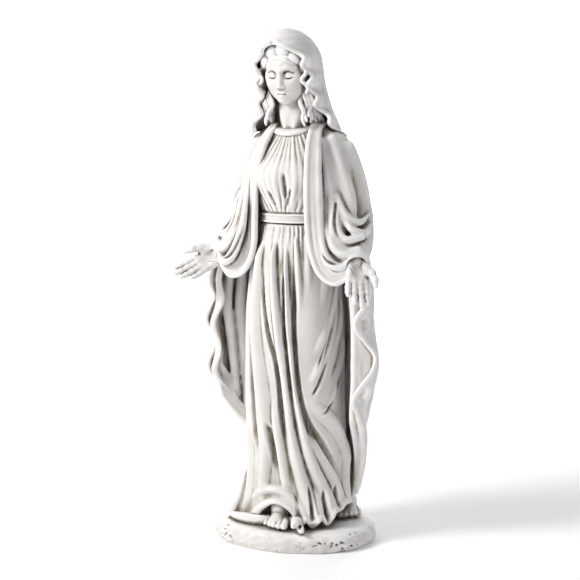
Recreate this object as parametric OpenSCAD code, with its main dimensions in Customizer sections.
// Standing robed figure with open hands on an oval ground slab.
// A hollow stone casting, with the projecting hands cast apart and pinned on.
// +Z is up, the figure faces -Y, +X is the figure's own left.
// The origin is on the ground, under the crossing of the steel bar.

/* [Figure] */
// Height of the figure above the ground slab
figure_h = 586; // [460:2:760]
// Wall of the hollow casting
wall = 9; // [6:0.5:11]
// Thickness of the mantle where it hangs free
mantle_t = 8; // [5:0.5:10]
// Thickness of the veil
veil_t = 5; // [3:0.5:7]
// Height of the belt band
belt_h = 13; // [8:0.5:18]
// How far the belt stands proud of the gown
belt_t = 2.5; // [1.5:0.5:4]

/* [Ground slab] */
// Width of the slab, left to right
base_w = 202; // [180:1:260]
// Depth of the slab, front to back
base_d = 172; // [160:1:230]
// Thickness of the slab
base_h = 24; // [18:1:34]
// Width of the filling hole that leads from the stopper into the figure
filler_d = 14; // [8:1:16]

/* [Fixings] */
// Diameter of the steel bar from the slab up to the head
bar_d = 8; // [5:0.5:10]
// Depth of the bar's seat below the slab's top
bar_seat = 12; // [8:1:14]
// Length of bar held in the head
bar_in_head = 24; // [15:1:30]
// Diameter of the pins that hold the hands
pin_d = 4; // [2.5:0.5:5]
// Length of pin inside each hand, and inside each sleeve
pin_bite = 12; // [8:1:14]
// Diameter of the rubber stopper at its wide end
plug_d = 26; // [18:1:32]
// Height of the rubber stopper
plug_h = 12; // [8:1:14]
// How far the stopper sits in from the slab's underside
plug_recess = 1.5; // [0.5:0.5:3]
// Glue gap around the bar, the pins and between the bonded pieces
glue_gap = 0.15; // [0.05:0.05:0.3]

/* [Serpent] */
// Thickness of the serpent's body
serpent_d = 13; // [9:1:16]
// Depth to which the serpent is let into the slab
serpent_sink = 2; // [1:0.5:3]

/* [Hidden] */

stone = "gainsboro";
stone_dark = "lightgray";
steel = "slategray";
rubber = "dimgray";

// Everything on the figure is drawn at a height of 586 and enlarged as one.
drawn_h = 586;
k = figure_h / drawn_h;
round_fn = 44;
ball_fn = 14;
eps = 0.01;

// Heights on the drawn figure, above the slab.
belt_z = 365;
skirt_top = belt_z + belt_h / 2;
neck_z = 472;
head_z = 540;

// Cross-sections: [height, centre x, centre y, half width, half depth, flute depth].
skirt_sections = [
    [0,   3,  1, 66, 57, 0.045], [30,  3,  0, 62, 55, 0.05], [80,  2, -2, 59, 54, 0.05],
    [140, 2, -4, 57, 53, 0.045], [220, 1, -4, 57, 50, 0.04], [290, 1, -4, 52, 45, 0.035],
    [335, 0, -5, 45, 38, 0.03], [skirt_top, 0, -5, 39, 32, 0.0]];
bodice_sections = [
    [skirt_top, 0, -5, 39, 32, 0], [385, 0, -6, 42, 34, 0.02], [408, 0, -8, 47, 38, 0.02],
    [430, 0, -6, 50, 37, 0.015], [448, 0, -2, 51, 32, 0.01], [462, 0, 0, 42, 27, 0],
    [neck_z, 0, 2, 26, 21, 0]];
skirt_flutes = 13;
bodice_flutes = 15;

mantle_sections = [
    [0,   0, 1,  74, 66, 0.03], [60,  0, 2,  76, 66, 0.03], [110, 0, 2,  84, 66, 0.03],
    [150, 0, 2,  94, 66, 0.03], [200, 0, 3, 112, 65, 0.03], [240, 0, 3, 111, 63, 0.03],
    [280, 0, 4, 106, 58, 0.03], [330, 0, 5,  98, 52, 0.02], [380, 0, 6,  84, 45, 0.01],
    [425, 0, 6,  72, 39, 0.01], [460, 0, 8,  56, 32, 0]];
mantle_flutes = 17;
// Where the mantle's free edges end, in front of the axis below the arms and behind it above.
wing_front = 20;
wing_top_z = 325;
cape_front = 16;

// Arms: shoulder, elbow and wrist, mirrored from left to right, and the sleeve's radius at each.
shoulder = [53, 10, 441];
elbow = [68, 22, 362];
wrist = [88, -24, 320];
shoulder_r = 22;
elbow_r = 20;
cuff_r = 15;
wrist_r = 8;

// The directions that the hands point in, and the length of a hand from the wrist.
left_aim = [0.25, -0.5, -0.83];
right_aim = [-0.65, -0.65, -0.39];
hand_len = 56;

// The front edges of the mantle, from the neck to the loop under each wrist.
left_front = [
    [33, -17, 468], [43, -40, 436], [47, -44, 366],
    [58, -46, 326], [77, -41, 297], [90, -34, 308]];
right_front = [
    [-23, -20, 470], [-33, -33, 440], [-41, -32, 366],
    [-44, -33, 326], [-58, -31, 297], [-77, -31, 308]];
front_r = [7, 9, 8, 9, 9, 8];

head_centre = [-2, -12, head_z];
head_half = [26.5, 33.5, 37];
head_nod = 16;

left_toe = [64, 18, 4];
right_toe = [4, -64, 4];
left_heel = [49, 42, 12];
right_heel = [0, -42, 16];
toe_fan = 5.6;

// The serpent's body lies under the robe, from the tail on the right to the head in front.
serpent_path = [[-68, -36], [-40, -47], [-13, -44], [10, -42], [30, -45], [47, -46]];

// ---------- general shapes ----------

// One ring of a loft, with flutes that ripple its radius.
function ring(s, flutes, count) =
    [for (i = [0 : count - 1])
        let (a = 360 * i / count, f = 1 + s[5] * cos(flutes * a))
        [s[1] + s[3] * f * sin(a), s[2] - s[4] * f * cos(a), s[0]]];

// The section grown by g on all sides, such as by minus the wall.
function grown(s, g) = [s[0], s[1], s[2], s[3] + g, s[4] + g, s[5]];

module loft(sections, flutes = 0, count = round_fn) {
    points = [for (s = sections) each ring(s, flutes, count)];
    levels = len(sections);
    sides = [for (j = [0 : levels - 2], i = [0 : count - 1])
        let (a = j * count + i, b = j * count + (i + 1) % count)
        each [[a, b + count, b], [a, a + count, b + count]]];
    floor_face = [[for (i = [0 : count - 1]) i]];
    roof_face = [[for (i = [count - 1 : -1 : 0]) (levels - 1) * count + i]];
    polyhedron(points, concat(floor_face, sides, roof_face), convexity = 8);
}

// A hollow loft, whose bore runs past both ends.
module tube_loft(sections, thick, flutes) {
    last = len(sections) - 1;
    core = [for (s = sections) grown(s, -thick)];
    low = [core[0][0] - 1, core[0][1], core[0][2], core[0][3], core[0][4], 0];
    high = [core[last][0] + 1, core[last][1], core[last][2], core[last][3], core[last][4], 0];
    difference() {
        loft(sections, flutes);
        loft(concat([low], core, [high]), 0);
    }
}

module ball(at, r) {
    translate(at) sphere(r, $fn = ball_fn);
}

module bone(a, ra, b, rb) {
    hull() {
        ball(a, ra);
        ball(b, rb);
    }
}

// A run of bones through the points of a path.
module limb(path, radii) {
    for (i = [0 : len(path) - 2])
        bone(path[i], radii[i], path[i + 1], radii[i + 1]);
}

// A cylinder from one point towards another.
module rod(from, aim, length, d) {
    tilt = acos(aim[2] / norm(aim));
    turn = atan2(aim[1], aim[0]);
    translate(from) rotate([0, tilt, turn]) cylinder(h = length, d = d, $fn = 48);
}

function unit(v) = v / norm(v);
// A point given for the left side, or its mirror image on the right.
function on_side(p, side) = [side * p[0], p[1], p[2]];

// Puts the drawn figure on the slab at its real size.
module on_slab() {
    translate([0, 0, base_h]) scale(k) children();
}

function placed(p) = [p[0] * k, p[1] * k, base_h + p[2] * k];

// ---------- ground slab and fixings ----------

module slab_outline(inset) {
    scale([base_w - 2 * inset, base_d - 2 * inset]) circle(d = 1, $fn = 64);
}

module slab_layer(z, inset) {
    translate([0, 0, z]) linear_extrude(eps) slab_outline(inset);
}

module bar_room() {
    translate([0, 0, base_h - bar_seat])
        cylinder(h = bar_length(), d = bar_d + 2 * glue_gap, $fn = 48);
}

function bar_top() = base_h + k * (head_centre[2] - head_half[2] + 6) + bar_in_head;
function bar_length() = bar_top() - (base_h - bar_seat);

plug_at = [0, -base_d / 6, 0];

module base_slab() {
    color(stone)
    difference() {
        hull() {
            slab_layer(0, 3);
            slab_layer(base_h * 0.3, 0);
            slab_layer(base_h * 0.62, 3);
            slab_layer(base_h * 0.88, 12);
            slab_layer(base_h - eps, 22);
        }
        bar_room();
        translate(plug_at) translate([0, 0, -1])
            cylinder(h = plug_recess + plug_h + 1, d = plug_d + 2 * glue_gap, $fn = round_fn);
        translate(plug_at) cylinder(h = base_h + 1, d = filler_d, $fn = round_fn);
        serpent_body(2 * glue_gap);
    }
}

module base_plug() {
    grip_d = plug_d * 0.5;
    color(rubber)
    translate(plug_at + [0, 0, plug_recess])
    difference() {
        union() {
            cylinder(h = plug_h * 0.35, d = plug_d, $fn = round_fn);
            cylinder(h = plug_h - 0.5, d1 = plug_d, d2 = plug_d * 0.86, $fn = round_fn);
        }
        translate([0, 0, -1]) cylinder(h = plug_h * 0.3 + 1, d = grip_d, $fn = round_fn);
    }
}

module steel_bar() {
    color(steel)
    translate([0, 0, base_h - bar_seat]) cylinder(h = bar_length(), d = bar_d, $fn = 48);
}

// ---------- gown ----------

module belt_ring(grow, tall) {
    top = [belt_z + tall / 2, 0, -5, 39 + grow, 32 + grow, 0];
    bottom = [belt_z - tall / 2, 0, -5, 39.5 + grow, 32.5 + grow, 0];
    loft([bottom, top]);
}

module skirt() {
    color(stone)
    difference() {
        on_slab() tube_loft(skirt_sections, wall / k, skirt_flutes);
        on_slab() belt_ring(glue_gap, belt_h + eps);
        left_foot_shape();
        right_foot_shape();
        serpent_body(glue_gap);
    }
}

module bodice() {
    color(stone)
    difference() {
        on_slab() loft(bodice_sections, bodice_flutes);
        on_slab() translate([0, 0, -1])
            loft([for (s = bodice_sections) if (s[0] < 440) grown(s, -wall / k)]);
        on_slab() belt_ring(glue_gap, belt_h + eps);
        bar_room();
        neck_shape(glue_gap);
    }
}

module belt() {
    color(stone_dark)
    difference() {
        on_slab() belt_ring(belt_t / k, belt_h);
        on_slab() belt_ring(-wall / k, 2 * belt_h);
    }
}

module collar() {
    collar_r = 21;
    collar_bead = 3;
    color(stone_dark)
    difference() {
        on_slab() translate([0, -5, neck_z + 4]) rotate([14, 0, 0])
            rotate_extrude($fn = round_fn) translate([collar_r, 0]) circle(collar_bead, $fn = 24);
        neck_shape(glue_gap);
        on_slab() loft(bodice_sections, bodice_flutes);
    }
}

// ---------- mantle and sleeves ----------

module gown_outline(grow) {
    on_slab() loft([for (s = skirt_sections) grown(s, grow)]);
    on_slab() loft([for (s = bodice_sections) grown(s, grow)]);
}

module in_front_of(y, low, high) {
    translate([-200, y - 200, low]) cube([400, 200, high - low]);
}

module mantle_back() {
    color(stone)
    difference() {
        on_slab() tube_loft(mantle_sections, mantle_t / k, mantle_flutes);
        on_slab() in_front_of(-wing_front, -1, wing_top_z);
        on_slab() in_front_of(cape_front, wing_top_z - eps, drawn_h);
        gown_outline(glue_gap);
        sleeve_shape(1, glue_gap);
        sleeve_shape(-1, glue_gap);
    }
}

module mantle_front(path) {
    color(stone)
    difference() {
        on_slab() limb(path, front_r);
        gown_outline(glue_gap);
    }
}

module left_mantle_front() {
    difference() {
        mantle_front(left_front);
        sleeve_shape(1, glue_gap);
        hand_on_arm(1, left_aim) drawn_palm(glue_gap);
    }
}

module right_mantle_front() {
    difference() {
        mantle_front(right_front);
        sleeve_shape(-1, glue_gap);
        hand_on_arm(-1, right_aim) drawn_palm(glue_gap);
    }
}

module sleeve_shape(side, grow) {
    path = [on_side(shoulder, side), on_side(elbow, side), on_side(wrist, side)];
    on_slab() limb(path, [shoulder_r + grow, elbow_r + grow, cuff_r + grow]);
}

module sleeve(side, aim) {
    color(stone)
    difference() {
        sleeve_shape(side, 0);
        gown_outline(glue_gap);
        hand_on_arm(side, aim) drawn_palm(glue_gap);
        pin_shape(side, aim, 2 * glue_gap);
    }
}

module left_sleeve() {
    sleeve(1, left_aim);
}

module right_sleeve() {
    sleeve(-1, right_aim);
}

// ---------- hands ----------

// Palm and thumb, drawn along +X from the wrist with the palm up.
module drawn_palm(grow) {
    palm_l = hand_len * 0.46;
    hull() {
        ball([0, 0, 0], wrist_r * 0.9 + grow);
        ball([palm_l, 7, 0], 4.4 + grow);
        ball([palm_l, -7, 0], 4.2 + grow);
    }
    bone([palm_l * 0.35, 8, 2], 4.2 + grow, [palm_l + 6, 19, 4], 2.8 + grow);
}

module drawn_fingers() {
    knuckle = hand_len * 0.46;
    finger_l = hand_len * 0.5;
    for (i = [0 : 3]) {
        y = 8.2 - 5.2 * i;
        reach = finger_l * [0.9, 1, 0.95, 0.78][i];
        bone([knuckle, y, 0], 3.4, [knuckle + reach, y * 1.2, -2], 2.3);
    }
}

// Turns what is drawn along +X to the hand's aim, with the palm to the front.
module hand_on_arm(side, aim) {
    a = unit(aim);
    yaw = atan2(a[1], a[0]);
    pitch = -asin(a[2]);
    roll = side > 0 ? -55 : 40;
    on_slab() translate(on_side(wrist, side)) rotate([0, pitch, yaw]) rotate([roll, 0, 0])
        mirror([0, side > 0 ? 0 : 1, 0]) children();
}

module pin_shape(side, aim, grow) {
    a = unit(aim);
    rod(placed(on_side(wrist, side)) - a * pin_bite, a, 2 * pin_bite, pin_d + grow);
}

module hand(side, aim) {
    color(stone)
    difference() {
        hand_on_arm(side, aim) {
            drawn_palm(0);
            drawn_fingers();
        }
        pin_shape(side, aim, 2 * glue_gap);
    }
}

module left_hand() {
    hand(1, left_aim);
}

module right_hand() {
    hand(-1, right_aim);
}

module left_wrist_pin() {
    color(steel) pin_shape(1, left_aim, 0);
}

module right_wrist_pin() {
    color(steel) pin_shape(-1, right_aim, 0);
}

// ---------- head ----------

module head_ball(grow) {
    translate(head_centre) rotate([head_nod, 0, 0]) resize(2 * (head_half + [grow, grow, grow]))
        sphere(10, $fn = 32);
}

module neck_shape(grow) {
    on_slab() bone([0, 3, neck_z - 14], 16 + grow, [-1, -6, head_z - 24], 16 + grow);
}

module head_shape(grow) {
    on_slab() head_ball(grow);
    neck_shape(grow);
}

module neck_and_face() {
    color(stone)
    difference() {
        union() {
            head_shape(0);
            on_slab() translate(head_centre) rotate([head_nod, 0, 0])
                bone([0, -34, 2], 3, [0, -38, -10], 4);
        }
        bar_room();
    }
}

// The hair lies on the head as a cap, cut away over the face.
module hair_cap(grow) {
    hair_t = 3;
    on_slab() difference() {
        head_ball(hair_t + grow);
        translate(head_centre) rotate([head_nod, 0, 0])
            translate([-26, -69 - grow, -65]) cube([52, 50, 88 - grow]);
        translate(head_centre + [0, 0, -58]) cube([90, 90, 60], center = true);
    }
}

module hair() {
    color(stone_dark)
    difference() {
        hair_cap(0);
        head_shape(0);
    }
}

veil_sections = [
    [464, 0, 13, 62, 34, 0], [478, -1, 8, 52, 38, 0], [500, -2, 1, 43, 45, 0],
    [525, -2, -5, 41, 47, 0], [550, -2, -8, 40, 46, 0], [568, -2, -10, 33, 38, 0],
    [580, -2, -13, 21, 25, 0], [586, -2, -14, 5, 6, 0]];

module veil_outline() {
    on_slab() loft(veil_sections);
}

// The room under the veil, closed at the crown and open below.
module veil_inside(grow) {
    t = veil_t / k - grow;
    low = veil_sections[0];
    skirt_of_room = [low[0] - 20, low[1], low[2], low[3] - t, low[4] - t, 0];
    room = [for (s = veil_sections) if (s[3] > 15) [s[0] - t, s[1], s[2], s[3] - t, s[4] - t, 0]];
    roof = [drawn_h - t, -2, -14, 1, 1, 0];
    on_slab() loft(concat([skirt_of_room], room, [roof]));
}

// The opening of the veil around the face and over the chest.
module face_opening() {
    on_slab() hull() {
        translate([-2, -60, 548]) rotate([90, 0, 0]) cylinder(h = 60, r = 27, center = true, $fn = 32);
        translate([-2, -60, 470]) cube([84, 84, 40], center = true);
    }
}

module veil() {
    color(stone)
    difference() {
        veil_outline();
        veil_inside(0);
        face_opening();
        hair_cap(glue_gap);
    }
}

// The frill fills the room between hair and veil, from ear to ear over the brow.
module veil_frill() {
    color(stone_dark)
    difference() {
        intersection() {
            veil_inside(-glue_gap);
            on_slab() translate(head_centre) rotate([head_nod, 0, 0])
                translate([-50, -22, 2]) cube([100, 16, 60]);
        }
        hair_cap(glue_gap);
    }
}

// ---------- feet and serpent ----------

module foot_shape(toe, heel, side) {
    aim = unit(toe - heel);
    across = [-aim[1], aim[0], 0];
    on_slab() {
        ball_of_foot = toe - aim * 12;
        bone(heel, 10, ball_of_foot + [0, 0, 0.5], 6.5);
        for (i = [-2 : 2]) {
            short = 1.6 * abs(i) + (i * side > 1 ? 2 : 0);
            bone(ball_of_foot + across * i * 4.4, 4.2, toe + across * i * toe_fan - aim * short, 3);
        }
    }
}

module above_slab() {
    translate([0, 0, base_h + 250 * k]) cube([400 * k, 400 * k, 500 * k], center = true);
}

module left_foot_shape() {
    intersection() {
        foot_shape(left_toe, left_heel, 1);
        above_slab();
    }
}

module right_foot_shape() {
    intersection() {
        foot_shape(right_toe, right_heel, -1);
        above_slab();
    }
}

module left_foot() {
    color(stone) left_foot_shape();
}

module right_foot() {
    color(stone)
    difference() {
        right_foot_shape();
        serpent_body(glue_gap);
    }
}

module serpent_body(grow) {
    r = serpent_d / 2;
    path = [for (p = serpent_path) [p[0] * k, p[1] * k, base_h + r - serpent_sink]];
    radii = [r * 0.45, r * 0.9, r, r, r * 1.1, r * 1.3];
    limb(path, [for (q = radii) q + grow]);
}

module serpent() {
    color(stone_dark) serpent_body(0);
}

base_slab();
base_plug();
steel_bar();
skirt();
bodice();
belt();
collar();
mantle_back();
left_mantle_front();
right_mantle_front();
left_sleeve();
right_sleeve();
left_hand();
right_hand();
left_wrist_pin();
right_wrist_pin();
neck_and_face();
hair();
veil();
veil_frill();
left_foot();
right_foot();
serpent();
